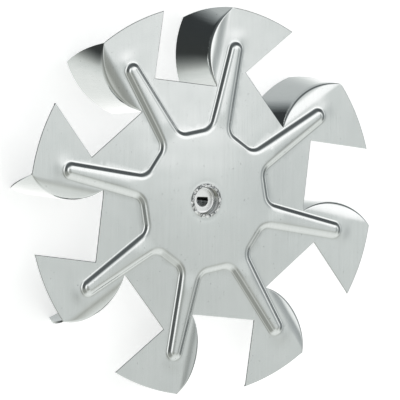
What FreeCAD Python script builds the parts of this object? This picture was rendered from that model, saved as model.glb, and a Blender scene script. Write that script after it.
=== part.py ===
import FreeCAD, Part
import math
import os

# Radial blade fan wheel, in millimetres. The origin is on the wheel's axis at the floor of the
# bush's front recess. +Z is the axis, towards the front face that carries the raised star.
# Angles are in degrees, seen from the front, and the first fin's tip points along +X.

# Sheet and wheel
wheel_radius = 90.0
sheet = 1.0
sheet_back = 1.4
blade_count = 8
blade_depth = 32.4

# Cut outline of one fin. Angles run from the fin's tip, and the fold's inner end lies further
# round than its outer end by the fold's lag.
fin_angle = 21.9
notch_radius = 62.4
notch_angle = 10.95
fold_inner_radius = 52.9
fold_lag = 2.3

# Curved fold and the blade behind it. Rises are bows out from a chord, and reaches say how far
# the back edge's chord runs past the fold's chord at each end. The sheet rolls over softly
# before the tight bend, up to the shoulder's slope. The bend is made of a few narrow bands, and
# its lift says how far its corner stays above the shoulder's edge.
fold_rise = 7.8
back_rise = 8.0
back_inner_reach = 3.0
back_outer_reach = 8.1
shoulder_slope = 30.4
bend_radius = 2.0
bend_bands = 2
bend_lift = 0.3

# Raised star, with one tapered rib behind each fin. A rib's foot just clears the inner end of
# the fold beside it. The star's side rises steeply from its foot to a knee, and gently from
# there to its crest. Apothem, end margin and corner radius are the foot's.
star_height = 1.3
knee_height = 0.82
knee_run = 1.4
crest_run = 1.3
star_apothem = 33.25
rib_lag = 6.0
rib_taper = 2.8
rib_clearance = 0.54
rib_end_margin = 14.95
rib_corner_radius = 2.65

# Bush: front recess, shaft hole with a flat at its front end and a relief groove behind the
# flat, staked rim, rear flange and body
recess_radius = 6.3
rim_height = 0.7
rim_overhang = 0.8
rim_chamfer = 0.35
neck_wall = 0.8
shaft_radius = 3.0
shaft_flat = 1.5
shaft_flat_angle = -17.2
shaft_flat_length = 5.0
relief_length = 1.0
relief_depth = 0.3
flange_overhang = 3.9
flange_thickness = 2.5
body_wall = 4.5
body_length = 12.0
stake_count = 12
stake_radius = 0.9
stake_bite = 0.45

# Working allowance: depth of the forms that are cut from each other
form_depth = 8.0

# Levels, radii and angles that follow
sheet_front = sheet_back + sheet
panel_back = sheet_back + star_height
panel_front = sheet_front + star_height
blade_back = sheet_front - blade_depth
rim_top = panel_front + rim_height
neck_radius = recess_radius + neck_wall
rim_radius = neck_radius + rim_overhang
flange_radius = neck_radius + flange_overhang
body_radius = shaft_radius + body_wall
pitch = 360.0 / blade_count
fold_inner_angle = fin_angle + fold_lag
rib_angle = fold_inner_angle - rib_lag
knee_slope = math.atan2(knee_height, knee_run)
crest_slope = math.atan2(star_height - knee_height, crest_run)
shoulder_radius = fold_rise / math.sin(math.radians(shoulder_slope))

ORIGIN = FreeCAD.Vector(0, 0, 0)
UP = FreeCAD.Vector(0, 0, 1)


def at(radius, angle, z=0.0):
    turn = math.radians(angle)
    return FreeCAD.Vector(radius * math.cos(turn), radius * math.sin(turn), z)


def wire_of(edges, z):
    wire = Part.Wire(Part.__sortEdges__(edges))
    wire.translate(UP * z)
    return wire


def extrude(edges, bottom, top):
    return Part.Face(wire_of(edges, bottom)).extrude(UP * (top - bottom))


def loft(lower, upper):
    return Part.makeLoft([lower, upper], True, True)


def arc(start, middle, end):
    return Part.Arc(start, middle, end).toShape()


def pattern(shape, count):
    copies = []
    for index in range(count):
        copy = shape.copy()
        copy.rotate(ORIGIN, UP, index * 360.0 / count)
        copies.append(copy)
    return copies


# Frame of the first fold's chord: along runs from its inner end to its outer end, and out
# points away from the fin, over the notch.
fold_start = at(fold_inner_radius, fold_inner_angle)
fold_end = at(wheel_radius, fin_angle)
chord = (fold_end - fold_start).Length
along = (fold_end - fold_start).normalize()
out = UP.cross(along)


def chord_point(u, n, z):
    return fold_start + along * u + out * n + UP * z


def disc_outline():
    """Edge of the flat sheet: rim arc, fold chord and the two sides of the notch, per fin."""
    edges = []
    for index in range(blade_count):
        turn = index * pitch
        tip = at(wheel_radius, turn)
        rim_middle = at(wheel_radius, turn + fin_angle / 2)
        fold_outer = at(wheel_radius, turn + fin_angle)
        fold_inner = at(fold_inner_radius, turn + fold_inner_angle)
        notch = at(notch_radius, turn + notch_angle + pitch)
        next_tip = at(wheel_radius, turn + pitch)
        edges.append(arc(tip, rim_middle, fold_outer))
        edges.append(Part.makeLine(fold_outer, fold_inner))
        edges.append(Part.makeLine(fold_inner, notch))
        edges.append(Part.makeLine(notch, next_tip))
    return edges


def star_outline(inset):
    """Outline of the star's foot, moved in by inset: flats between the ribs, and tapered ribs
    with round ends. Every arc keeps its centre, so two outlines make a side of one slope."""
    taper = math.radians(rib_taper)
    end_radius = wheel_radius - rib_end_margin
    # The rib's side is the tapered line that clears the fold's inner end. The round end
    # touches both sides, so its radius follows from that line.
    inner_x = fold_inner_radius * math.cos(math.radians(rib_lag))
    inner_y = fold_inner_radius * math.sin(math.radians(rib_lag))
    side_offset = inner_x * math.sin(taper) + inner_y * math.cos(taper) - rib_clearance
    end_round = (side_offset - end_radius * math.sin(taper)) / (1 - math.sin(taper))
    end_centre = end_radius - end_round
    corner = rib_corner_radius + inset
    flat_distance = star_apothem - inset + corner
    edges = []
    for index in range(blade_count):
        rib = rib_angle + index * pitch
        rib_axis = at(1, rib)
        side_ends = []
        for sign in (-1, 1):
            side_normal = at(math.cos(taper), rib + sign * 90) + rib_axis * math.sin(taper)
            flat_normal = at(1, rib + sign * pitch / 2)
            flat_along = at(1, rib + sign * (pitch / 2 - 90))
            shift = side_offset - inset + corner - flat_distance * flat_normal.dot(side_normal)
            centre = flat_normal * flat_distance + flat_along * (shift / flat_along.dot(side_normal))
            on_flat = centre - flat_normal * corner
            on_side = centre - side_normal * corner
            on_arc = centre - (flat_normal + side_normal).normalize() * corner
            side_end = rib_axis * end_centre + side_normal * (end_round - inset)
            edges.append(arc(on_flat, on_arc, on_side))
            edges.append(Part.makeLine(on_side, side_end))
            side_ends.append(side_end)
        edges.append(arc(side_ends[0], rib_axis * (end_radius - inset), side_ends[1]))
        flat_length = -2 * on_flat.dot(flat_along)
        edges.append(Part.makeLine(on_flat, on_flat + flat_along * flat_length))
    return edges


def section_corner(inset, height, before, after, depth):
    """Outline at a corner of the star's section between two slopes, on the skin depth below."""
    middle = (before + after) / 2
    reach = depth / math.cos((after - before) / 2)
    outline = star_outline(inset + reach * math.sin(middle))
    return wire_of(outline, sheet_front + height - reach * math.cos(middle))


def star_form(depth):
    """Everything below the disc's skin, for the skin that lies depth under the front one."""
    foot = section_corner(0, 0, 0, knee_slope, depth)
    knee = section_corner(knee_run, knee_height, knee_slope, crest_slope, depth)
    crest = section_corner(knee_run + crest_run, star_height, crest_slope, 0, depth)
    slab_start = UP * (sheet_front - depth - form_depth)
    slab = Part.makeCylinder(2 * wheel_radius, form_depth, slab_start)
    return slab.multiFuse([loft(foot, knee), loft(knee, crest)]).removeSplitter()


def make_disc():
    skin = star_form(0.0).cut(star_form(sheet))
    return skin.common(extrude(disc_outline(), sheet_back, panel_front))


def bow_radius(start, end, rise):
    half = (end - start) / 2
    return (half * half + rise * rise) / (2 * rise)


# The blade is part of a round cone. Its line down the blade's middle joins the middles of the
# two bows, and its curve there is the fold's at the top and the back edge's at the bottom.
fold_bow = bow_radius(0, chord, fold_rise)
back_bow = bow_radius(-back_inner_reach, chord + back_outer_reach, back_rise)
back_centre = (chord + back_outer_reach - back_inner_reach) / 2
fold_middle = chord_point(chord / 2, fold_rise, sheet_front)
down = (chord_point(back_centre, back_rise, blade_back) - fold_middle).normalize()
cone_angle = math.atan((back_bow - fold_bow) / blade_depth)
apex = fold_middle - down * (fold_bow / math.tan(cone_angle))
across = (out - down * out.dot(down)).normalize()
cone_axis = down * math.cos(cone_angle) - across * math.sin(cone_angle)
shoulder_drop = shoulder_radius * (1 - math.cos(math.radians(shoulder_slope)))
bend_corner = fold_middle + down * (shoulder_drop - bend_lift)


def roll_over(depth):
    """Solid below the soft shoulder, which starts at the chord and drops ever more steeply."""
    radius = shoulder_radius - depth
    top = sheet_front - depth
    centre = sheet_front - shoulder_radius
    start = -2 * form_depth

    def shoulder(angle):
        turn = math.radians(angle)
        return chord_point(start, radius * math.sin(turn), centre + radius * math.cos(turn))

    level_start = chord_point(start, -2 * form_depth, top)
    low_start = chord_point(start, -2 * form_depth, blade_back)
    low_end = chord_point(start, radius * math.sin(math.radians(60)), blade_back)
    profile = Part.makePolygon([shoulder(60), low_end, low_start, level_start, shoulder(0)]).Edges
    profile.append(arc(shoulder(0), shoulder(30), shoulder(60)))
    return Part.Face(Part.Wire(Part.__sortEdges__(profile))).extrude(along * (chord + 5 * form_depth))


def cone_form(depth):
    """Solid inside the blade's cone, depth inside its outer skin, with a banded bend on top."""
    tip = apex + cone_axis * (depth / math.sin(cone_angle))
    top = (bend_corner - tip).dot(cone_axis) + depth
    length = top + 2 * blade_depth
    radius = bend_radius + sheet - depth
    # The bend turns from the cone's flat end to its side. Each band touches its arc.
    turn = math.pi / 2 - cone_angle
    centre = top * math.tan(cone_angle) - radius * math.tan(turn / 2)
    step = turn / (bend_bands + 1)
    profile = [(0, top)]
    for band in range(bend_bands + 1):
        angle = step * (band + 0.5)
        reach = radius / math.cos(step / 2)
        profile.append((centre + reach * math.sin(angle), top + radius - reach * math.cos(angle)))
    profile += [(length * math.tan(cone_angle), length), (0, length)]
    side = UP.cross(cone_axis).normalize()
    points = [tip + side * away + cone_axis * drop for away, drop in profile]
    return Part.Face(Part.makePolygon(points + points[:1])).revolve(tip, cone_axis, 360)


def fold_form(depth):
    """Everything below and inside a blade's skin that lies depth under its outer one."""
    top = sheet_front - depth
    reach = 5 * form_depth
    corners = [(-reach, -form_depth), (chord + reach, -form_depth), (chord + reach, reach), (-reach, reach)]
    points = [chord_point(u, n, top) for u, n in corners]
    block = Part.Face(Part.makePolygon(points + points[:1])).extrude(UP * (blade_back - top))
    return block.common(roll_over(depth)).common(cone_form(depth))


def make_blade():
    """One blade with its fold: inner end square to the chord, outer end on a ball about the
    wheel's centre, and clear of the star."""
    skin = fold_form(0.0).cut(fold_form(sheet))
    lean = back_inner_reach / blade_depth
    above = sheet_front + form_depth
    below = blade_back - form_depth
    points = [
        chord_point(lean * form_depth, -2 * form_depth, above),
        chord_point(-lean * (blade_depth + form_depth), -2 * form_depth, below),
        chord_point(2 * chord, -2 * form_depth, below),
        chord_point(2 * chord, -2 * form_depth, above),
    ]
    side = Part.Face(Part.makePolygon(points + points[:1]))
    keep = side.extrude(out * (5 * form_depth))
    ball = Part.makeSphere(wheel_radius, UP * sheet_front)
    star_room = extrude(star_outline(-rib_clearance), sheet_back - form_depth, panel_front)
    return skin.common(keep).common(ball).cut(star_room)


def make_wheel_sheet():
    wheel = make_disc().multiFuse(pattern(make_blade(), blade_count)).removeSplitter()
    hole = Part.makeCylinder(neck_radius, 2 * form_depth, UP * (panel_front - form_depth))
    return wheel.cut(hole)


def make_hub_bush():
    flange_front = panel_back
    flange_back = panel_back - flange_thickness
    section = [
        (0, -body_length),
        (body_radius, -body_length),
        (body_radius, flange_back),
        (flange_radius, flange_back),
        (flange_radius, flange_front),
        (neck_radius, flange_front),
        (neck_radius, panel_front),
        (rim_radius, panel_front),
        (rim_radius, rim_top - rim_chamfer),
        (rim_radius - rim_chamfer, rim_top),
        (recess_radius + rim_chamfer, rim_top),
        (recess_radius, rim_top - rim_chamfer),
        (recess_radius, 0),
        (0, 0),
    ]
    points = [FreeCAD.Vector(radius, 0, z) for radius, z in section]
    bush = Part.Face(Part.makePolygon(points + points[:1])).revolve(ORIGIN, UP, 360)
    return bush.cut(shaft_hole()).cut(stakes())


def shaft_hole():
    """Round hole with a flat just behind the recess, on the side given by shaft_flat_angle, and
    a relief groove where the flat ends."""
    half = math.degrees(math.acos(shaft_flat / shaft_radius))
    start = at(shaft_radius, shaft_flat_angle + half)
    middle = at(shaft_radius, shaft_flat_angle + 180)
    end = at(shaft_radius, shaft_flat_angle - half)
    outline = [arc(start, middle, end), Part.makeLine(end, start)]
    front = extrude(outline, -shaft_flat_length, form_depth)
    rear = Part.makeCylinder(shaft_radius, body_length, UP * (-shaft_flat_length - body_length))
    relief_start = UP * (-shaft_flat_length - relief_length)
    relief = Part.makeCylinder(shaft_radius + relief_depth, relief_length, relief_start)
    return front.multiFuse([rear, relief])


def stakes():
    """Ring of punch marks that spread the rim over the sheet."""
    reach = 2 * rim_overhang
    start = FreeCAD.Vector(rim_radius - reach / 2, 0, rim_top + stake_radius - stake_bite)
    mark = Part.makeCylinder(stake_radius, reach, start, FreeCAD.Vector(1, 0, 0))
    return Part.makeCompound(pattern(mark, stake_count))


def write(name, shape):
    solids = shape.Solids
    single = solids[0] if len(solids) == 1 else Part.makeCompound(solids)
    single.exportStep(os.path.join("parts", name + ".step"))


os.makedirs("parts", exist_ok=True)
write("wheel_sheet", make_wheel_sheet())
write("hub_bush", make_hub_bush())
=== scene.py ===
import math
import random

import bmesh
import bpy
import numpy as np
from mathutils import Matrix, Vector
from mathutils.geometry import delaunay_2d_cdt


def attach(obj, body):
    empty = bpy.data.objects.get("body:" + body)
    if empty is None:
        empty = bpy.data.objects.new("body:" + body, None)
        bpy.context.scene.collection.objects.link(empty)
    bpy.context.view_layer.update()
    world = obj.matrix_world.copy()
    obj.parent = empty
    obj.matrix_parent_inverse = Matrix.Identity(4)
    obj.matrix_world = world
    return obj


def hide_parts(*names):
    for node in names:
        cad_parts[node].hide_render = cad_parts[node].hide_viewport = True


# Radial blade fan wheel: looks. All lengths below are in millimetres and are scaled to metres
# when a mesh is made. +Z is the wheel's axis, towards the face with the raised star.

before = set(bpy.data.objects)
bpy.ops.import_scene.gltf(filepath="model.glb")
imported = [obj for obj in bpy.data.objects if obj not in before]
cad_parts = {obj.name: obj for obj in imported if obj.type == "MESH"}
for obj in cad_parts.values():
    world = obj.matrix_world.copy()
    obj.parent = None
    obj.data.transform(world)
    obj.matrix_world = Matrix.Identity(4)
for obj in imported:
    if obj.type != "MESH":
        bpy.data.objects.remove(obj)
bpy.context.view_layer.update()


MM = 0.001

# ---------------------------------------------------------------- form of the sheet
# the disc and its fins
RADIUS = 90.0  # of the wheel
SHEET = 1.0  # thickness
FRONT = 2.4  # height of the flat front face
BACK = -30.0  # height of the blades' rear edges
COUNT = 8
PITCH = 360.0 / COUNT
FIN = 21.9  # a fin's rim runs from 0 to this angle
NOTCH_R = 62.4  # bottom of the notch before a fin
NOTCH_A = 10.95  # its angle past the fin's first corner
ROLL = 0.25  # the sheared edge rolls over across this width
DIP = 0.17  # and falls by this much

# the fold of a blade is an arc from the disc's edge to the fin's corner, bowed out from its chord
FOLD_R = 52.9
FOLD_A = 24.2
FOLD_RISE = 7.8
# the blade's rear edge is bowed too, and its ends lie past the chord's ends
BACK_RISE = 8.0
BACK_IN = 3.0
BACK_OUT = 8.1
OVERRUN = 1.15  # both arcs are drawn on past their ends by this factor
# the shoulder is a round that leaves the fin at the chord and slopes by this angle at the fold
SHOULDER_TURN = 24
SHOULDER = FOLD_RISE / math.sin(math.radians(SHOULDER_TURN))
# radius of the bend at both ends of the fold, and how much it gains towards the middle
BEND_ENDS = 0.3
BEND_GAIN = 2.1
BEND_POWER = 0.8

# the star: an octagon with eight tapered ribs, raised from the sheet
STAR_H = 1.3
STAR_RUN = 1.66  # width of its sloped wall in plan
APOTHEM = 32.9
CORNER = 5.2  # radius of the corners between octagon and ribs
RIB_A = 18.2  # angle of the first rib
RIB_LAG = 6.0  # from a rib to the inner end of its fold
RIB_END = 74.7
TAPER = math.radians(2.8)
CLEAR = 0.07  # between a rib's foot and the fold's inner end
WALL = math.hypot(STAR_H, STAR_RUN)
SLOPE = math.atan2(STAR_H, STAR_RUN)
FOOT_T = 0.36 * WALL  # tangent lengths of the rounded foot and crest
CREST_T = 0.54 * WALL
CROWN = 0.75  # the crest rounds on over the top by this width
# a rib's back is crowned from CROWN_FROM outwards, within CROWN_START of its side lines
CROWN_FROM = 33.0
CROWN_BLEND = 10.0
CROWN_START = 0.9
CROWN_SHARE = 0.055  # height of the crown over half its width

# soft rise round a rib's end: height, reach, where it lies past the end, half its level part,
# and how much wider it is across the rib
SWELL = 0.14
SWELL_REACH = 3.4
SWELL_PAST = 0.6
SWELL_LEVEL = 0.5
SWELL_ACROSS = 0.8

# (radius, height over the star's top) of the shallow ring that the staking presses in
HUB_RING = (
    (7.1, -0.02), (7.9, -0.02), (8.3, -0.022), (8.7, -0.03),
    (9.1, -0.033), (9.6, -0.02), (10.2, -0.006), (11.0, 0.0),
)
HUB_CLEAR = 11.8  # no spare points on the star's top within this radius

# number of steps along each line of the mesh
ARC_STEPS = 12
SIDE_STEPS = 16
END_STEPS = 16
FLANK_STEPS = 8
FOOT_STEPS = 6
CREST_STEPS = 9
COLUMNS = 60
EDGE_STEPS = 40
SHOULDER_STEPS = 8
BEND_STEPS = 10
WALL_STEPS = 18
RIM_STEPS = 24
CUT_STEPS = 14
NOTCH_STEPS = 20
HUB_STEPS = 128

AHEAD = 0.02  # share of the blade's depth over which a direction is taken
SHARE_END = 1.3  # the blade's edges are sought up to this share of its arcs
FOLD_DEPTH = 0.3  # the fold is sought down to this share of the blade's depth
FLATTEST = 1e-3  # least fullness of the bend
STEEPEST = 0.999  # greatest sine of the shoulder's slope
BEND_SHARE = 0.5  # the bend takes at most this share of the shoulder
LEAST_TANGENT = 0.05
LEAST_HANDLE = 0.02
MITRE = 0.35  # least cosine at a mitred corner, which keeps its point short
ON_CHORD = 1e-9
TINY = 1e-6
WELD = 2e-6  # metres: points nearer than this become one
SLIVER = 1e-6
# grids of spare points (spacing, zone); the last two lie round the ribs' ends and on their backs
GRIDS = ((3.0, None), (1.0, "end"), (1.01, "back"))
ROW_GAP = 0.866  # of the spacing, for grids of equal triangles
END_ZONE = 9.0
BACK_ZONE = 4.5
EDGE_GAP = 0.8  # spare points keep clear of an edge and of the star's lines
STAR_GAP = 0.6
SHEET_SHARP = 18  # degrees from which an edge stays sharp


def at(radius, angle):
    turn = math.radians(angle)
    return Vector((radius * math.cos(turn), radius * math.sin(turn)))


# a rib's side lines lie RIB_OFFSET from the wheel's middle, its end is a round about END_CENTRE
RIB_FOLD = at(FOLD_R, RIB_LAG)
RIB_OFFSET = RIB_FOLD.x * math.sin(TAPER) + RIB_FOLD.y * math.cos(TAPER) - FOOT_T - CLEAR
END_ROUND = (RIB_OFFSET - RIB_END * math.sin(TAPER)) / (1 - math.sin(TAPER))
END_CENTRE = RIB_END - END_ROUND


def beside_rib(x, y):
    """(along, across) of a point in the frame of the rib next to it."""
    radius = math.hypot(x, y)
    turn = math.radians((math.degrees(math.atan2(y, x)) - RIB_A + PITCH / 2) % PITCH - PITCH / 2)
    return radius * math.cos(turn), radius * math.sin(turn)


def rib_crown(x, y):
    """Height of a rib's rounded back over the star's level top."""
    along, across = beside_rib(x, y)
    half = RIB_OFFSET - min(along, END_CENTRE) * math.sin(TAPER) - CROWN_START
    away = math.hypot(max(along - END_CENTRE, 0.0), across) / half
    if away >= 1 or along < CROWN_FROM:
        return 0.0
    grown = min((along - CROWN_FROM) / CROWN_BLEND, 1.0)
    return CROWN_SHARE * half * (1 - away * away) * grown * grown * (3 - 2 * grown)


def rib_end_swell(x, y):
    """Soft rise of the sheet round a rib's end, where the metal was drawn."""
    along, across = beside_rib(x, y)
    past = max(abs(along - RIB_END - SWELL_PAST) - SWELL_LEVEL, 0.0)
    away = math.hypot(past, across * SWELL_ACROSS)
    return SWELL * math.exp(-(away / SWELL_REACH) ** 2)


def rib_zone(x, y):
    """The zone of finer spare points that a point lies in, if any."""
    along, across = beside_rib(x, y)
    if math.hypot(along - RIB_END, across) < END_ZONE:
        return "end"
    if CROWN_FROM - 2 < along < RIB_END and abs(across) < BACK_ZONE:
        return "back"
    return None


def star_loop(inset):
    """Points of the star's outline moved in by inset, anticlockwise, always the same count."""
    corner = CORNER + inset
    flat = APOTHEM - inset + corner
    points = []
    for k in range(COUNT):
        rib = RIB_A + k * PITCH
        axis = at(1, rib)
        sides, lines = [], []
        for sign in (-1, 1):
            side = at(math.cos(TAPER), rib + sign * 90) + axis * math.sin(TAPER)
            normal = at(1, rib + sign * PITCH / 2)
            tangent = at(1, rib + sign * (PITCH / 2 - 90))
            shift = RIB_OFFSET - inset + corner - flat * normal.dot(side)
            centre = normal * flat + tangent * (shift / tangent.dot(side))
            line = []
            for i in range(ARC_STEPS + 1):
                line.append(centre - normal.slerp(side, i / ARC_STEPS) * corner)
            start, end = line[-1], axis * END_CENTRE + side * (END_ROUND - inset)
            line += [start.lerp(end, i / SIDE_STEPS) for i in range(1, SIDE_STEPS)]
            sides.append(side)
            lines.append(line)
        points += lines[0]
        # round end of the rib
        for i in range(2 * END_STEPS + 1):
            if i <= END_STEPS:
                turn = sides[0].slerp(axis, i / END_STEPS)
            else:
                turn = axis.slerp(sides[1], (i - END_STEPS) / END_STEPS)
            points.append(axis * END_CENTRE + turn * (END_ROUND - inset))
        points += lines[1][::-1]
        # straight flank to the next rib
        last = points[-1]
        along = at(1, rib + PITCH / 2 + 90)
        length = -2 * last.dot(along)
        points += [last + along * (length * i / FLANK_STEPS) for i in range(1, FLANK_STEPS)]
    return points


def star_levels():
    """(inset, height) along the wall's section, from the foot to the crest."""
    foot = FOOT_T / math.tan(SLOPE / 2)
    crest = CREST_T / math.tan(SLOPE / 2)
    levels = []
    for i in range(FOOT_STEPS + 1):
        turn = SLOPE * i / FOOT_STEPS
        levels.append((-FOOT_T + foot * math.sin(turn), foot * (1 - math.cos(turn))))
    # the crest is a power curve that leaves the wall at its slope and ends level
    gain = crest * (1 - math.cos(SLOPE))
    run = crest * math.sin(SLOPE) + CROWN
    power = run * math.tan(SLOPE) / gain
    for i in range(CREST_STEPS + 1):
        left = 1 - i / CREST_STEPS
        levels.append((STAR_RUN + CREST_T + CROWN - run * left, STAR_H - gain * left ** power))
    return levels


# chord frame of the first fold: u along the chord, n outwards from it
FOLD_IN = at(FOLD_R, FOLD_A)
FOLD_OUT = at(RADIUS, FIN)
CHORD = (FOLD_OUT - FOLD_IN).length
ALONG = (FOLD_OUT - FOLD_IN).normalized()
OUTWARD = Vector((-ALONG.y, ALONG.x))
# the fold's arc has its centre at this n, behind the chord
FOLD_CENTRE = FOLD_RISE - (CHORD * CHORD / 4 + FOLD_RISE * FOLD_RISE) / (2 * FOLD_RISE)


def plan(u, n):
    return FOLD_IN + ALONG * u + OUTWARD * n


def bow(start, end, rise, share):
    """Point (u, n) of an arc from start to end, share -1 to 1 (and on) from its middle."""
    half = (end - start) / 2
    radius = (half * half + rise * rise) / (2 * rise)
    reach = OVERRUN * math.asin(half / radius) * share
    u = (start + end) / 2 + radius * math.sin(reach)
    return Vector((u, rise - radius + radius * math.cos(reach)))


def wall_point(share, t):
    """Point of the blade's outer skin in the chord frame (u, n, z), t = 0 at the fold."""
    top = bow(0.0, CHORD, FOLD_RISE, share)
    low = bow(-BACK_IN, CHORD + BACK_OUT, BACK_RISE, share)
    mixed = top.lerp(low, t)
    return Vector((mixed.x, mixed.y, FRONT + (BACK - FRONT) * t))


def solve(test, low, high, halvings=48):
    """Where test turns from negative to positive."""
    for _ in range(halvings):
        middle = (low + high) / 2
        if test(middle) > 0:
            high = middle
        else:
            low = middle
    return (low + high) / 2


def inner_share(t):
    """Where the blade's inner edge lies, a straight line from the fold's inner end."""
    return solve(lambda s: wall_point(s, t).x + BACK_IN * t, -SHARE_END, 0.0)


def outer_share(t):
    """Where the blade's outer edge lies, on a ball of the wheel's radius."""
    def beyond(s):
        p = wall_point(s, t)
        return plan(p.x, p.y).length_squared + (p.z - FRONT) ** 2 - RADIUS * RADIUS
    return solve(beyond, 0.0, SHARE_END)


def shoulder_z(n):
    n = max(n, 0.0)
    return FRONT - SHOULDER + math.sqrt(SHOULDER * SHOULDER - n * n)


def blade_grid():
    """Rows of points (u, n, z) over one blade, from the chord across the fold to the back edge."""
    inner = [inner_share(i / EDGE_STEPS) for i in range(EDGE_STEPS + 1)]
    outer = [outer_share(i / EDGE_STEPS) for i in range(EDGE_STEPS + 1)]

    def edge_share(table, t):
        place = min(max(t, 0.0), 1.0) * EDGE_STEPS
        i = min(int(place), EDGE_STEPS - 1)
        return table[i] + (table[i + 1] - table[i]) * (place - i)

    columns = []
    for j in range(COLUMNS + 1):
        part = j / COLUMNS

        def wall(t):
            s0 = edge_share(inner, t)
            s1 = edge_share(outer, t)
            return wall_point(s0 + (s1 - s0) * part, t)

        t_fold = solve(lambda t: shoulder_z(wall(t).y) - wall(t).z, 0.0, FOLD_DEPTH)
        fold = wall(t_fold)
        # the column starts on the chord, in line with the arc's centre and the fold
        reach = -FOLD_CENTRE / (fold.y - FOLD_CENTRE)
        start = Vector((CHORD / 2 + (fold.x - CHORD / 2) * reach, 0.0))
        run = Vector((fold.x, fold.y)) - start
        span = run.length

        # the bend's tangent length, kept within the shoulder that is there
        fullness = max(FLATTEST, math.sin(math.pi * part)) ** BEND_POWER
        bend = BEND_ENDS + BEND_GAIN * fullness
        turn = math.pi / 2 - math.asin(min(fold.y / SHOULDER, STEEPEST))
        tangent = bend * math.tan(turn / 2)
        tangent_in = min(tangent, BEND_SHARE * span)
        tangent_out = max(tangent, LEAST_TANGENT)

        rows = []
        share_in = 1 - tangent_in / span if span > TINY else 1.0
        for i in range(SHOULDER_STEPS + 1):
            flat = start + run * (share_in * i / SHOULDER_STEPS)
            rows.append(Vector((flat.x, flat.y, shoulder_z(flat.y))))

        # the bend is one curve from the shoulder's direction into the blade's
        enter = rows[-1]
        if span > TINY:
            slope_in = max(enter.y, 0.0) / math.sqrt(SHOULDER ** 2 - enter.y ** 2)
            aim = Vector((run.x / span, run.y / span, -slope_in * run.y / span)).normalized()
        else:
            aim = Vector((0.0, 1.0, 0.0))
        leave_t = t_fold + tangent_out / (FRONT - BACK)
        leave = wall(leave_t)
        fall = (wall(leave_t + AHEAD) - leave).normalized()
        angle = math.acos(max(-1.0, min(1.0, aim.dot(fall))))
        handle = 4 / 3 * math.tan(angle / 4) / math.tan(angle / 2)
        first = enter + aim * (handle * max(tangent_in, LEAST_HANDLE))
        second = leave - fall * (handle * tangent_out)
        for i in range(1, BEND_STEPS + 1):
            f = i / BEND_STEPS
            g = 1 - f
            near = enter * g ** 3 + first * (3 * g * g * f)
            rows.append(near + second * (3 * g * f * f) + leave * f ** 3)

        for i in range(1, WALL_STEPS + 1):
            rows.append(wall(leave_t + (1 - leave_t) * i / WALL_STEPS))
        columns.append(rows)
    return columns


def inside(loop, points):
    """Even-odd test of points (n x 2) against a closed loop."""
    loop = np.array(loop)
    x0, y0 = loop[:, 0], loop[:, 1]
    x1, y1 = np.roll(x0, -1), np.roll(y0, -1)
    px = points[:, 0][:, None]
    py = points[:, 1][:, None]
    crosses = (y0 > py) != (y1 > py)
    slope = np.where(y1 == y0, 1.0, y1 - y0)
    x = x0 + (py - y0) * (x1 - x0) / slope
    return (np.sum(crosses & (px < x), axis=1) % 2) == 1


def clear_of(points, line, gap):
    """Which points lie more than gap away from every point of a line."""
    line = np.array(line)
    keep = np.ones(len(points), bool)
    for i, p in enumerate(points):
        keep[i] = np.min(np.sum((line - p) ** 2, axis=1)) > gap * gap
    return keep


def fill(loops, spare):
    """Triangles between closed loops, the first of which is the outermost, with spare points."""
    points, edges = [], []
    for loop in loops:
        base = len(points)
        points += [Vector(p) for p in loop]
        edges += [(base + i, base + (i + 1) % len(loop)) for i in range(len(loop))]
    points += [Vector(p) for p in spare]
    out_points, _, faces, _, _, _ = delaunay_2d_cdt(points, edges, [], 0, 1e-7)
    places = np.array([[p[0], p[1]] for p in out_points])
    middles = np.array([places[list(f)].mean(axis=0) for f in faces])
    keep = inside(loops[0], middles)
    for loop in loops[1:]:
        keep &= ~inside(loop, middles)
    return places, [tuple(f) for f, k in zip(faces, keep) if k]


def spare_points():
    """Points that fill the flat parts: wide apart, and close together in the ribs' zones."""
    spare = []
    for step, zone in GRIDS:
        half = int(RADIUS / step) + 1
        for i in range(-half, half + 1):
            for j in range(-half, half + 1):
                x, y = (i + 0.5 * (j % 2)) * step, j * step * ROW_GAP
                if zone is None or rib_zone(x, y) == zone:
                    spare.append((x, y))
    return np.array(spare)


def sheet_outline(chord_line):
    """The flat sheet's outline, and which of its points lie on a chord and join a blade."""
    outline, joined = [], []
    for k in range(COUNT):
        turn = Matrix.Rotation(math.radians(k * PITCH), 2)
        for i in range(RIM_STEPS):
            outline.append(turn @ at(RADIUS, FIN * i / RIM_STEPS))
        joined += range(len(outline), len(outline) + len(chord_line))
        outline += [turn @ p for p in reversed(chord_line)]
        inner, tip = at(FOLD_R, FOLD_A), at(RADIUS, PITCH)
        notch = at(NOTCH_R, NOTCH_A + PITCH)
        outline += [turn @ inner.lerp(notch, i / CUT_STEPS) for i in range(1, CUT_STEPS)]
        outline += [turn @ notch.lerp(tip, i / NOTCH_STEPS) for i in range(NOTCH_STEPS)]
    return outline, set(joined)


def roll_in(outline, joined):
    """The line inside the outline where its sheared edge begins to roll over."""
    rolled = []
    for i, p in enumerate(outline):
        if i in joined:
            rolled.append(p)
            continue
        before = (p - outline[i - 1]).normalized()
        after = (outline[(i + 1) % len(outline)] - p).normalized()
        inward = Vector((-before.y - after.y, before.x + after.x)).normalized()
        lean = max(inward.dot(Vector((-before.y, before.x))), MITRE)
        rolled.append(p + inward * (ROLL / lean))
    return rolled


def mark_sharp(work, limit):
    """Keeps every edge sharp whose faces meet at more than limit degrees."""
    for edge in work.edges:
        if len(edge.link_faces) == 2 and edge.calc_face_angle(0.0) > math.radians(limit):
            edge.smooth = False


def shade_smooth(mesh):
    for polygon in mesh.polygons:
        polygon.use_smooth = True


def new_object(name, mesh):
    obj = bpy.data.objects.new(name, mesh)
    bpy.context.scene.collection.objects.link(obj)
    return obj


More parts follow.
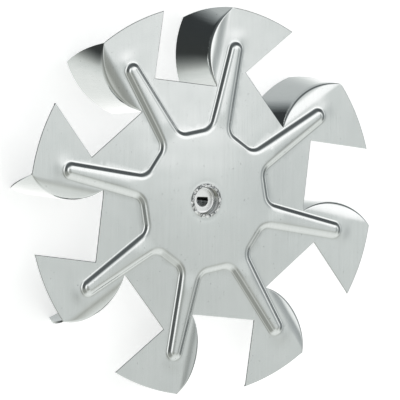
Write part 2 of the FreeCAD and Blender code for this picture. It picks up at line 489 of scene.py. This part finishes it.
def build_sheet():
    verts, faces = [], []

    def add(x, y, z):
        verts.append((x * MM, y * MM, z * MM))
        return len(verts) - 1

    def add_fill(loops, spare, height):
        places, triangles = fill(loops, spare)
        base = len(verts)
        for x, y in places:
            add(x, y, height(x, y))
        faces.extend(tuple(base + i for i in f) for f in triangles)

    grid = blade_grid()
    chord_line = [plan(rows[0].x, 0.0) for rows in grid]
    outline, joined = sheet_outline(chord_line)
    rolled = roll_in(outline, joined)
    levels = star_levels()
    loops = [star_loop(inset) for inset, _ in levels]

    # fins and sheet round the star
    spare = spare_points()
    ring = spare[inside(rolled, spare) & ~inside(loops[0], spare)]
    ring = ring[clear_of(ring, rolled, EDGE_GAP) & clear_of(ring, loops[0], STAR_GAP)]
    add_fill([rolled, loops[0]], ring, lambda x, y: FRONT + rib_end_swell(x, y))

    # rolled-over edge
    upper = [add(p.x, p.y, FRONT + rib_end_swell(p.x, p.y)) for p in rolled]
    lower = []
    for i, p in enumerate(outline):
        lower.append(add(p.x, p.y, FRONT - (0.0 if i in joined else DIP)))
    for i in range(len(outline)):
        j = (i + 1) % len(outline)
        if i in joined and j in joined:
            continue
        corners = [lower[i], lower[j]]
        if j not in joined:
            corners.append(upper[j])
        if i not in joined:
            corners.append(upper[i])
        faces.append(tuple(corners))

    # star wall
    rows = []
    for (_, height), loop in zip(levels, loops):
        row = []
        for p in loop:
            swell = rib_end_swell(p.x, p.y) * (1 - height / STAR_H)
            row.append(add(p.x, p.y, FRONT + height + rib_crown(p.x, p.y) + swell))
        rows.append(row)
    count = len(rows[0])
    for low, high in zip(rows, rows[1:]):
        for i in range(count):
            j = (i + 1) % count
            faces.append((low[i], low[j], high[j], high[i]))

    # top of the star, and the ring round the bush
    top = FRONT + STAR_H
    hub_loops = []
    for radius, _ in HUB_RING:
        hub_loops.append([at(radius, i * 360 / HUB_STEPS) for i in range(HUB_STEPS)])
    room = spare[inside(loops[-1], spare) & (np.hypot(spare[:, 0], spare[:, 1]) > HUB_CLEAR)]
    room = room[clear_of(room, loops[-1], STAR_GAP)]
    add_fill([loops[-1], hub_loops[-1]], room, lambda x, y: top + rib_crown(x, y))
    rings = []
    for (_, drop), loop in zip(HUB_RING, hub_loops):
        rings.append([add(p.x, p.y, top + drop) for p in loop])
    for low, high in zip(rings, rings[1:]):
        for i in range(HUB_STEPS):
            j = (i + 1) % HUB_STEPS
            faces.append((low[i], high[i], high[j], low[j]))

    # blades
    for k in range(COUNT):
        turn = Matrix.Rotation(math.radians(k * PITCH), 2)
        ids = []
        for rows in grid:
            column = []
            for p in rows:
                flat = turn @ plan(p.x, p.y)
                swell = rib_end_swell(flat.x, flat.y) if p.y < ON_CHORD else 0.0
                column.append(add(flat.x, flat.y, p.z + swell))
            ids.append(column)
        for a, b in zip(ids, ids[1:]):
            for i in range(len(a) - 1):
                faces.append((a[i], b[i], b[i + 1], a[i + 1]))

    # one skin that faces up, then the sheet's thickness behind it
    mesh = bpy.data.meshes.new("wheel_sheet_skin")
    mesh.from_pydata(verts, [], faces)
    work = bmesh.new()
    work.from_mesh(mesh)
    bmesh.ops.remove_doubles(work, verts=work.verts, dist=WELD)
    bmesh.ops.dissolve_degenerate(work, edges=work.edges, dist=SLIVER)
    work.normal_update()
    bmesh.ops.recalc_face_normals(work, faces=work.faces)
    if sum(f.normal.z * f.calc_area() for f in work.faces) < 0:
        bmesh.ops.reverse_faces(work, faces=work.faces)
    work.to_mesh(mesh)
    work.free()
    shade_smooth(mesh)
    obj = new_object("sheet_wheel", mesh)
    thick = obj.modifiers.new("thickness", "SOLIDIFY")
    thick.thickness = SHEET * MM
    thick.offset = -1.0
    thick.use_even_offset = False
    evaluated = obj.evaluated_get(bpy.context.evaluated_depsgraph_get())
    solid = bpy.data.meshes.new_from_object(evaluated)
    obj.modifiers.clear()
    obj.data = solid
    bpy.data.meshes.remove(mesh)
    solid.name = "wheel_sheet_skin"
    work = bmesh.new()
    work.from_mesh(solid)
    mark_sharp(work, SHEET_SHARP)
    work.to_mesh(solid)
    work.free()
    shade_smooth(solid)
    return obj


# ---------------------------------------------------------------- form of the bush
SHAFT_R = 3.0
FLAT_CUT = 1.5  # the shaft's flat cuts this much off its radius
FLAT_A = -17.2  # the flat faces this angle
GROOVE_R = 3.3  # relief groove behind the flat, and the rear chamfer
RECESS_R = 6.3
RECESS_ROUND = 0.95  # where the recess's floor turns up into its wall
FLOOR_R = RECESS_R - RECESS_ROUND
NECK_R = 7.1  # inside the sheet
PANEL = 3.7  # front of the sheet at the bush
RIM_R = 7.9
RIM_TOP = 4.4
FLANGE_R = 11.0  # behind the sheet
REAR_R = 7.5
REAR = -12.0
STAKES = 17  # marks round the rim
STAKE_SHIFT = 4  # each lies up to this many degrees out of its even place
STAKE_WIDTHS = (3.0, 6.0)
STAKE_DEPTHS = (0.5, 1.0)
STAKE_SIDES = 6  # power that makes a mark's sides steep
BUSH_STEPS = 192
ROUND_STEPS = 8
BUSH_SHARP = 32  # degrees from which an edge stays sharp

# rings of the round bore, from the chamfer at the back past the relief groove: radius, height
BORE_RINGS = (
    (GROOVE_R, REAR), (SHAFT_R, -11.7), (SHAFT_R, -6.0), (GROOVE_R, -5.95), (GROOVE_R, -5.05),
)
# rings along the flat, up to the floor of the recess: widening, height
FLAT_RINGS = ((0.0, -5.0), (0.0, -4.9), (0.0, -2.5), (0.0, -0.14), (0.04, -0.04), (0.14, 0.0))
FLOOR_SHARES = (0.1, 0.4, 0.7, 0.95)  # rings on the way across the recess's floor
WALL_HEIGHTS = (2.0, 3.6)  # rings up the recess's wall
# rings across the staked rim: radius, height, and how far a mark pushes out and down
RIM_RINGS = (
    (RECESS_R + 0.02, RIM_TOP - 0.42, 0.0, 0.0),
    (RECESS_R + 0.12, RIM_TOP - 0.2, 0.0, 0.0),
    (RECESS_R + 0.3, RIM_TOP - 0.06, 0.0, 0.08),
    (RECESS_R + 0.5, RIM_TOP - 0.01, 0.0, 0.24),
    (RECESS_R + 0.72, RIM_TOP - 0.01, 0.0, 0.5),
    (RECESS_R + 0.95, RIM_TOP - 0.04, 0.0, 0.6),
    (RECESS_R + 1.2, RIM_TOP - 0.12, 0.0, 0.56),
    (RIM_R - 0.18, RIM_TOP - 0.25, 0.12, 0.42),
    (RIM_R - 0.05, RIM_TOP - 0.45, 0.2, 0.22),
    (RIM_R, PANEL + 0.06, 0.06, 0.0),
)
# plain rings down the outside: neck, flange and rear boss
OUTER_RINGS = (
    (RIM_R - 0.05, PANEL - 0.1), (NECK_R - 0.01, PANEL - 0.12), (NECK_R - 0.01, 2.7),
    (FLANGE_R - 0.1, 2.68), (FLANGE_R, 2.6), (FLANGE_R, 0.6), (FLANGE_R - 0.4, 0.2),
    (REAR_R + 0.1, 0.2), (REAR_R, 0.1), (REAR_R, REAR + 0.4), (REAR_R - 0.4, REAR),
)


def build_bush():
    rng = random.Random(11)
    marks = []
    for i in range(STAKES):
        centre = i * 360.0 / STAKES + rng.uniform(-STAKE_SHIFT, STAKE_SHIFT)
        marks.append((centre, rng.uniform(*STAKE_WIDTHS), rng.uniform(*STAKE_DEPTHS)))
    angles = [FLAT_A + i * 360.0 / BUSH_STEPS for i in range(BUSH_STEPS)]

    def mark(angle):
        """Depth of the stake marks at an angle, 0 to 1."""
        depth = 0.0
        for centre, width, amount in marks:
            away = (angle - centre + 180) % 360 - 180
            depth = max(depth, amount * math.exp(-(away / width) ** STAKE_SIDES))
        return depth

    def shaft(angle):
        """Radius of the shaft hole, with its flat."""
        away = math.radians((angle - FLAT_A + 180) % 360 - 180)
        if abs(away) < math.pi / 3 + TINY:
            return min(SHAFT_R, (SHAFT_R - FLAT_CUT) / math.cos(away))
        return SHAFT_R

    depths = [mark(angle) for angle in angles]
    keyed = [shaft(angle) for angle in angles]
    rows = []

    def ring(radius, height, out=0.0, down=0.0):
        rows.append([(radius + out * depth, height - down * depth) for depth in depths])

    # shaft hole
    for radius, height in BORE_RINGS:
        ring(radius, height)
    for wider, height in FLAT_RINGS:
        rows.append([(radius + wider, height) for radius in keyed])
    # recess: floor, the round at its foot, wall
    for share in FLOOR_SHARES:
        rows.append([(radius + (FLOOR_R - radius) * share, 0.0) for radius in keyed])
    for i in range(1, ROUND_STEPS + 1):
        turn = math.pi / 2 * i / ROUND_STEPS
        ring(FLOOR_R + RECESS_ROUND * math.sin(turn), RECESS_ROUND - RECESS_ROUND * math.cos(turn))
    for height in WALL_HEIGHTS:
        ring(RECESS_R, height)
    for values in RIM_RINGS + OUTER_RINGS:
        ring(*values)

    verts = []
    for row in rows:
        for angle, (radius, z) in zip(angles, row):
            p = at(radius, angle)
            verts.append((p.x * MM, p.y * MM, z * MM))
    faces = []
    for r in range(len(rows)):
        here, there = r * BUSH_STEPS, (r + 1) % len(rows) * BUSH_STEPS
        for i in range(BUSH_STEPS):
            j = (i + 1) % BUSH_STEPS
            faces.append((here + i, here + j, there + j, there + i))
    mesh = bpy.data.meshes.new("hub_bush_skin")
    mesh.from_pydata(verts, [], faces)
    work = bmesh.new()
    work.from_mesh(mesh)
    bmesh.ops.recalc_face_normals(work, faces=work.faces)
    mark_sharp(work, BUSH_SHARP)
    work.to_mesh(mesh)
    work.free()
    shade_smooth(mesh)
    return new_object("bush_hub", mesh)


# ---------------------------------------------------------------- materials
class Nodes:
    """Small helper to write node trees."""

    def __init__(self, tree):
        self.tree = tree
        tree.nodes.clear()

    def add(self, kind, **values):
        node = self.tree.nodes.new(kind)
        for name, value in values.items():
            setattr(node, name, value)
        return node

    def link(self, source, target):
        self.tree.links.new(source, target)

    def math(self, operation, a, b=None, clamp=False):
        node = self.add("ShaderNodeMath", operation=operation, use_clamp=clamp)
        for socket, value in zip(node.inputs, (a, b)):
            if value is None:
                continue
            if isinstance(value, (int, float)):
                socket.default_value = value
            else:
                self.link(value, socket)
        return node.outputs[0]

    def plus(self, a, b):
        return self.math("ADD", a, b)

    def minus(self, a, b, clamp=False):
        return self.math("SUBTRACT", a, b, clamp)

    def times(self, a, b):
        return self.math("MULTIPLY", a, b)

    def over(self, a, b, clamp=False):
        return self.math("DIVIDE", a, b, clamp)

    def above(self, value, low):
        return self.math("GREATER_THAN", value, low)

    def below(self, value, high):
        return self.math("LESS_THAN", value, high)

    def ramp(self, source, stops):
        node = self.add("ShaderNodeValToRGB")
        elements = node.color_ramp.elements
        while len(elements) < len(stops):
            elements.new(0.5)
        for element, (place, value) in zip(elements, stops):
            element.position = place
            colour = (value, value, value) if isinstance(value, (int, float)) else value
            element.color = (*colour, 1.0)
        self.link(source, node.inputs[0])
        return node.outputs[0]

    def noise(self, vector, scale, detail, rough):
        node = self.add("ShaderNodeTexNoise")
        node.inputs["Scale"].default_value = scale
        node.inputs["Detail"].default_value = detail
        node.inputs["Roughness"].default_value = rough
        self.link(vector, node.inputs["Vector"])
        return node.outputs[0]

    def mapped(self, vector, scale, turn=0.0):
        """Coordinates turned about Z first and stretched after that."""
        turned = self.add("ShaderNodeMapping")
        turned.inputs["Rotation"].default_value = (0.0, 0.0, math.radians(turn))
        self.link(vector, turned.inputs["Vector"])
        node = self.add("ShaderNodeMapping")
        node.inputs["Scale"].default_value = scale
        self.link(turned.outputs[0], node.inputs["Vector"])
        return node.outputs[0]

    def mix(self, factor, a, b, blend="MIX"):
        node = self.add("ShaderNodeMix", data_type="RGBA", blend_type=blend)
        if isinstance(factor, float):
            node.inputs[0].default_value = factor
        else:
            self.link(factor, node.inputs[0])
        for socket, value in ((node.inputs[6], a), (node.inputs[7], b)):
            if isinstance(value, tuple):
                socket.default_value = (*value, 1.0)
            else:
                self.link(value, socket)
        return node.outputs[2]

    def bump(self, height, distance, normal=None):
        node = self.add("ShaderNodeBump")
        node.inputs["Strength"].default_value = 1.0
        node.inputs["Distance"].default_value = distance
        self.link(height, node.inputs["Height"])
        if normal is not None:
            self.link(normal, node.inputs["Normal"])
        return node.outputs[0]

    def mix_shaders(self, factor, first, second):
        node = self.add("ShaderNodeMixShader")
        self.link(factor, node.inputs[0])
        self.link(first, node.inputs[1])
        self.link(second, node.inputs[2])
        return node.outputs[0]

    def seen(self, path):
        """1 for camera and transmission rays."""
        return self.math("MAXIMUM", path.outputs["Is Camera Ray"],
                         path.outputs["Is Transmission Ray"])


WHITE = (1.0, 1.0, 1.0)
GRAIN_TURN = 13.7  # degrees from the X axis to the rolling direction
GRAIN_STRETCH = (40.0, 2600.0, 90.0)
STREAK_STRETCH = (14.0, 420.0, 22.0)
# scales of the noises, per metre
RING_SCALE = 6000.0  # turned rings of the bush
BUSH_STREAK_SCALE = 420.0
SOFT_SCALE = 28.0
BLOTCH_SCALE = 95.0
SPECK_SCALE = 900.0
TORN_SCALE = 560.0
TORN_STRETCH = (1.0, 1.0, 0.4)
# colours of blotches and small dark spots
TONE_FROM, TONE_TO = 0.3, 0.7  # part of a noise that makes the change of tone
BLOTCH_DARK = (0.965, 0.97, 0.97)
SPOTS = [(0.0, 1.0), (0.235, 1.0), (0.27, 0.0), (1.0, 0.0)]
SPOT_SHADE = 0.55
SPOT_SHARE = 0.5
# roughness that the grain and the streaks add, and about what they add on the whole
GRAIN_ROUGH = 0.08
STREAK_ROUGH = 0.09
ADDED_ROUGH = 0.10
# depths of the bumps, in millimetres
GRAIN_DEPTH = 0.0022
TURNED_DEPTH = 0.006
SOFT_DEPTH = 0.2
STREAK_DEPTH = 0.008
DOME_DEPTH = 1.4
TORN_DEPTH = 2.2
DOME_R = 0.045  # metres
STREAKS_ON_BLADES = 5.0  # how much the rolled streaks gain down a blade
BLADE_DEPTH = 6.0 * MM
# places on the bush, by height and radius
RIM_FROM_Z = 3.75 * MM
RIM_FROM_R = 6.4 * MM
FACED_Z = (-0.03 * MM, 0.1 * MM)  # floor of the recess
FACED_ROUGH = 0.12
WALL_Z = 0.6 * MM  # wall of the recess, above its round
WALL_R = (6.1 * MM, 6.32 * MM)
HOLE_TOP = -0.1 * MM
HOLE_R = 3.4 * MM
HOLE_ROUGH = 0.5
# painted light: the shaft hole's wall is lifted near white with a cool tint, so the deep hole
# reads lit
HOLE_PAINTED_LIGHT = (0.97, 0.99, 1.0)
FLAT_TOWARD = (0.9553, -0.2957)  # direction of the shaft's flat
PAINTED_SHADE_FROM = 0.55 * MM  # painted shade: the hole is painted black from this far before its middle, towards the flat
PAINTED_SHADE_BLEND = 0.4 * MM
HOLE_PAINTED_SHADE = (0.012, 0.013, 0.012)
WALL_PATCH_TOWARD = (0.4435, -0.896)
WALL_PATCH_FROM = 0.86  # cosine of the angle round the dark patch's middle, and its soft edge
WALL_PATCH_BLEND = 0.08
WALL_PATCH_WAVER = 0.12
WALL_PATCH_SHARE = 0.7
WALL_PATCH = (0.22, 0.225, 0.17)


def metal(name, colour, dark, roughness, grained):
    """Bare metal. The sheet is rolled (fine straight grain), the bush is turned (round grain)."""
    material = bpy.data.materials.new(name)
    material.use_nodes = True
    n = Nodes(material.node_tree)
    place = n.add("ShaderNodeTexCoord").outputs["Object"]
    parts = n.add("ShaderNodeSeparateXYZ")
    n.link(place, parts.inputs[0])
    x, y, z = parts.outputs
    square = n.plus(n.times(x, x), n.times(y, y))
    radius = n.math("SQRT", square)
    out = n.add("ShaderNodeOutputMaterial")
    shader = n.add("ShaderNodeBsdfPrincipled")
    n.link(shader.outputs[0], out.inputs[0])
    shader.inputs["Metallic"].default_value = 1.0

    if grained:
        fine = n.noise(n.mapped(place, GRAIN_STRETCH, GRAIN_TURN), 1.0, 3.0, 0.6)
        streak = n.noise(n.mapped(place, STREAK_STRETCH, GRAIN_TURN), 1.0, 2.0, 0.5)
    else:
        rings = n.add("ShaderNodeCombineXYZ")
        n.link(n.times(radius, RING_SCALE), rings.inputs[0])
        n.link(n.times(z, RING_SCALE), rings.inputs[1])
        fine = n.noise(rings.outputs[0], 1.0, 2.0, 0.6)
        streak = n.noise(place, BUSH_STREAK_SCALE, 2.0, 0.5)
    soft = n.noise(place, SOFT_SCALE, 2.0, 0.5)
    blotch = n.noise(place, BLOTCH_SCALE, 3.0, 0.55)
    specks = n.noise(place, SPECK_SCALE, 1.0, 0.5)

    tone = n.ramp(fine, [(TONE_FROM, dark), (TONE_TO, colour)])
    patch = n.ramp(blotch, [(TONE_FROM, BLOTCH_DARK), (TONE_TO, WHITE)])
    base = n.mix(1.0, tone, patch, "MULTIPLY")
    spot = n.times(n.ramp(specks, SPOTS), SPOT_SHARE)
    base = n.mix(spot, base, tuple(c * SPOT_SHADE for c in colour))
    rough = n.plus(n.times(fine, GRAIN_ROUGH), n.times(streak, STREAK_ROUGH))
    rough = n.plus(rough, roughness - ADDED_ROUGH)

    normal = n.bump(fine, (GRAIN_DEPTH if grained else TURNED_DEPTH) * MM)
    normal = n.bump(soft, SOFT_DEPTH * MM, normal)
    if grained:
        # long rolling streaks, stronger on the blades
        blade = n.over(z, -BLADE_DEPTH, True)
        gain = n.plus(n.times(blade, STREAKS_ON_BLADES), 1.0)
        normal = n.bump(n.times(streak, gain), STREAK_DEPTH * MM, normal)
        # the slight dome that the stamping leaves in the middle
        dome = n.math("EXPONENT", n.times(square, -1.0 / DOME_R ** 2))
        normal = n.bump(dome, DOME_DEPTH * MM, normal)
    else:
        # staked rim: torn, uneven metal above the sheet
        rim = n.times(n.above(z, RIM_FROM_Z), n.above(radius, RIM_FROM_R))
        torn = n.noise(n.mapped(place, TORN_STRETCH), TORN_SCALE, 1.0, 0.5)
        normal = n.bump(n.times(torn, rim), TORN_DEPTH * MM, normal)
        # freshly faced floor of the recess, and the shaft hole, matt; the hole's wall gets painted
        # light, and painted shade that turns it black towards its flat
        low, high = FACED_Z
        faced = n.times(n.below(z, high), n.above(z, low))
        base = n.mix(faced, base, WHITE)
        hole = n.times(n.below(z, HOLE_TOP), n.below(radius, HOLE_R))
        rough = n.plus(rough, n.plus(n.times(faced, FACED_ROUGH), n.times(hole, HOLE_ROUGH)))
        flatward = n.plus(n.times(x, FLAT_TOWARD[0]), n.times(y, FLAT_TOWARD[1]))
        painted_shade = n.over(n.plus(flatward, PAINTED_SHADE_FROM), PAINTED_SHADE_BLEND, True)
        # painted light: the hole's wall lifted near white
        base = n.mix(hole, base, HOLE_PAINTED_LIGHT)
        # a dark olive patch on one side of the recess's wall
        low, high = WALL_R
        wall = n.times(n.above(z, WALL_Z), n.above(radius, low))
        wall = n.times(wall, n.below(radius, high))
        toward = n.plus(n.times(x, WALL_PATCH_TOWARD[0]), n.times(y, WALL_PATCH_TOWARD[1]))
        toward = n.over(toward, radius)
        toward = n.plus(toward, n.times(n.minus(streak, 0.5), WALL_PATCH_WAVER))
        wall_patch = n.over(n.minus(toward, WALL_PATCH_FROM), WALL_PATCH_BLEND, True)
        base = n.mix(n.times(n.times(wall, wall_patch), WALL_PATCH_SHARE), base, WALL_PATCH)
        # painted shade: the hole turns black towards the shaft's flat
        base = n.mix(n.times(hole, painted_shade), base, HOLE_PAINTED_SHADE)
    n.link(normal, shader.inputs["Normal"])
    n.link(base, shader.inputs["Base Color"])
    n.link(rough, shader.inputs["Roughness"])
    return material


sheet_metal = metal("sheet_metal_look", colour=(0.80, 0.815, 0.81), dark=(0.76, 0.775, 0.77),
                    roughness=0.14, grained=True)
bush_metal = metal("bush_metal_look", colour=(0.90, 0.90, 0.90), dark=(0.80, 0.805, 0.81),
                   roughness=0.18, grained=False)

sheet_obj = build_sheet()
bush_obj = build_bush()
sheet_obj.data.materials.append(sheet_metal)
bush_obj.data.materials.append(bush_metal)
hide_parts("wheel_sheet")
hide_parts("hub_bush")
for obj, name in ((sheet_obj, "sheet_metal"), (bush_obj, "bush_metal")):
    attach(obj, "root")

# ---------------------------------------------------------------- camera
CAMERA_AT = Vector((308.284, 760.994, 1458.310))
FORWARD = Vector((-0.18401, -0.45417, -0.87170)).normalized()
RIGHT = FORWARD.cross(Vector((0.96095, -0.26960, -0.06238)).normalized()).normalized()
UPWARD = RIGHT.cross(FORWARD)
camera_data = bpy.data.cameras.new("camera")
camera = new_object("camera", camera_data)
camera_data.sensor_width = 36.0
camera_data.lens = 326.79
camera_data.clip_start = 0.05
camera_data.clip_end = 20.0
camera_turn = Matrix((RIGHT, UPWARD, -FORWARD)).transposed()
camera.matrix_world = Matrix.Translation(CAMERA_AT * MM) @ camera_turn.to_4x4()
bpy.context.scene.camera = camera
bpy.context.scene.view_settings.view_transform = "Standard"

# ---------------------------------------------------------------- floor
FLOOR_REACH = 3.0  # metres
PAPER = (0.9, 0.9, 0.9, 1)
GLOW = 0.64  # lifts the open paper to white and leaves the wheel's shadow faint

floor_mesh = bpy.data.meshes.new("floor")
square = ((-1, -1), (1, -1), (1, 1), (-1, 1))
corners = [(sx * FLOOR_REACH, sy * FLOOR_REACH, 0) for sx, sy in square]
floor_mesh.from_pydata(corners, [], [(0, 1, 2, 3)])
floor = new_object("floor", floor_mesh)
floor.location = (0, 0, BACK * MM)
floor_look = bpy.data.materials.new("floor_look")
floor_look.use_nodes = True
n = Nodes(floor_look.node_tree)
out = n.add("ShaderNodeOutputMaterial")
paper = n.add("ShaderNodeBsdfDiffuse")
paper.inputs["Color"].default_value = PAPER
glow = n.add("ShaderNodeEmission")
glow.inputs["Color"].default_value = (1, 1, 1, 1)
glow.inputs["Strength"].default_value = GLOW
both = n.add("ShaderNodeAddShader")
n.link(paper.outputs[0], both.inputs[0])
n.link(glow.outputs[0], both.inputs[1])
path = n.add("ShaderNodeLightPath")
plain = n.mix_shaders(n.seen(path), paper.outputs[0], both.outputs[0])
# the metal mirrors the studio below the floor, not the paper
clear = n.add("ShaderNodeBsdfTransparent")
mirrored = n.mix_shaders(path.outputs["Is Glossy Ray"], plain, clear.outputs[0])
n.link(mirrored, out.inputs[0])
floor.data.materials.append(floor_look)

# ---------------------------------------------------------------- world: soft panels round it
# Each direction of the world is told by the metal that mirrors it towards the photograph's side:
# that metal's slope, and its heading in degrees clockwise from picture up. A panel is a heading
# and stops (slope, grey): for the slope of the metal, the grey that the metal shows.
PANELS = (
    (-75, ((0, 205), (2, 202), (3.5, 185), (5, 170), (10, 158), (14, 168), (16.5, 235),
           (19, 255), (25, 255), (28, 150), (31, 95), (38, 80), (55, 85), (80, 120))),
    (-30, ((0, 204), (1, 206), (2.2, 228), (4, 252), (14, 253), (17, 215), (21, 190),
           (25, 120), (32, 92), (41, 88), (46, 165), (55, 172), (90, 178))),
    (15, ((0, 204), (1.2, 207), (2.6, 230), (5, 250), (12, 255), (19, 255), (22, 165),
          (26, 95), (39, 76), (46, 225), (52, 255), (90, 255))),
    (60, ((0, 208), (3, 192), (6, 165), (11, 155), (14, 225), (19, 240), (22, 180),
          (28, 118), (40, 110), (48, 240), (60, 255), (90, 250))),
    (105, ((0, 208), (2, 205), (4, 160), (10, 148), (14, 180), (20, 190), (25, 125),
           (41, 92), (50, 240), (60, 250), (90, 250))),
    (150, ((0, 206), (4, 188), (8, 158), (12, 185), (20, 212), (41, 222), (60, 240),
           (90, 255))),
    (-165, ((0, 206), (1, 199), (2, 193), (6, 184), (10, 205), (20, 214), (41, 222),
            (55, 240), (75, 255), (90, 255))),
    (-120, ((0, 205), (1.8, 200), (4, 166), (6, 146), (14, 142), (19, 185), (24, 175),
            (29, 135), (40, 145), (55, 185), (75, 215), (90, 222))),
)
DISPLAY_POWER = 2.2
# a dark board low on the near side: heading, half its width, soft edge, light
BOARD_HEADING = -72
BOARD_HALF = 28
BOARD_EDGE = 14
BOARD_LIGHT = 0.038
BOARD_FROM = 0.5  # share of 90 degrees of slope, and its soft edge
BOARD_BLEND = 0.1
# tint of the light by its strength: cool, and creamy round one heading
COOL = [(0.0, (0.84, 0.95, 1.0)), (0.12, (0.9, 0.98, 1.0)), (0.45, (0.955, 1.0, 1.0)),
        (0.62, (0.96, 1.0, 0.985)), (0.9, WHITE)]
CREAM = [(0.0, (0.95, 1.0, 0.9)), (0.4, (0.975, 1.0, 0.94)), (0.62, (0.965, 1.0, 0.97)),
         (0.9, (1.0, 1.0, 0.985))]
CREAM_HEADING = -165
CREAM_HALF = 100
CREAM_EDGE = 50
CREAM_BLEND = 0.08
STRENGTH = 1.3

world = bpy.data.worlds.new("studio")
bpy.context.scene.world = world
world.use_nodes = True
n = Nodes(world.node_tree)
out = n.add("ShaderNodeOutputWorld")
back = n.add("ShaderNodeBackground")
white = n.add("ShaderNodeBackground")
white.inputs["Color"].default_value = (1, 1, 1, 1)
path = n.add("ShaderNodeLightPath")
n.link(n.mix_shaders(n.seen(path), back.outputs[0], white.outputs[0]), out.inputs[0])

direction = n.add("ShaderNodeTexCoord").outputs["Generated"]
half = n.add("ShaderNodeVectorMath", operation="SUBTRACT")
n.link(direction, half.inputs[0])
half.inputs[1].default_value = FORWARD
unit = n.add("ShaderNodeVectorMath", operation="NORMALIZE")
n.link(half.outputs[0], unit.inputs[0])


def along(vector):
    node = n.add("ShaderNodeVectorMath", operation="DOT_PRODUCT")
    n.link(unit.outputs[0], node.inputs[0])
    node.inputs[1].default_value = vector
    return node.outputs["Value"]


# plan directions that read as right and up in the picture
plan_right = Vector((RIGHT.x, RIGHT.y, 0)).normalized()
plan_up = Vector((-plan_right.y, plan_right.x, 0))
slope = n.over(n.math("ARCCOSINE", along(Vector((0, 0, 1)))), math.pi / 2)
heading = n.math("ARCTAN2", along(plan_right), along(plan_up))


def away_from(centre):
    """Angle between the heading and a centre, 0 to 180 degrees in radians."""
    return n.math("ARCCOSINE", n.math("COSINE", n.minus(heading, math.radians(centre))))


def around(centre, half_width, edge):
    """1 round a heading, 0 beyond half_width, with a soft edge inside it."""
    inside_by = n.minus(math.radians(half_width), away_from(centre))
    return n.over(inside_by, math.radians(edge), True)


def panel(centre, stops):
    """Light of one panel, faded out towards its neighbours' centres."""
    share = n.minus(1.0, n.over(away_from(centre), math.radians(PITCH)), True)
    for _ in range(2):
        share = n.times(n.times(share, share), n.minus(3.0, n.times(share, 2.0)))
    light = n.ramp(slope, [(angle / 90, (grey / 255) ** DISPLAY_POWER) for angle, grey in stops])
    return n.times(light, share)


total = None
for centre, stops in PANELS:
    one = panel(centre, stops)
    total = one if total is None else n.plus(total, one)
board = n.times(around(BOARD_HEADING, BOARD_HALF, BOARD_EDGE),
                n.over(n.minus(slope, BOARD_FROM), BOARD_BLEND, True))
total = n.plus(total, n.times(board, n.minus(BOARD_LIGHT, total)))
creamy = n.times(around(CREAM_HEADING, CREAM_HALF, CREAM_EDGE), n.over(slope, CREAM_BLEND, True))
lit = n.add("ShaderNodeVectorMath", operation="SCALE")
n.link(n.mix(creamy, n.ramp(total, COOL), n.ramp(total, CREAM)), lit.inputs[0])
n.link(total, lit.inputs["Scale"])
n.link(lit.outputs[0], back.inputs["Color"])
back.inputs["Strength"].default_value = STRENGTH
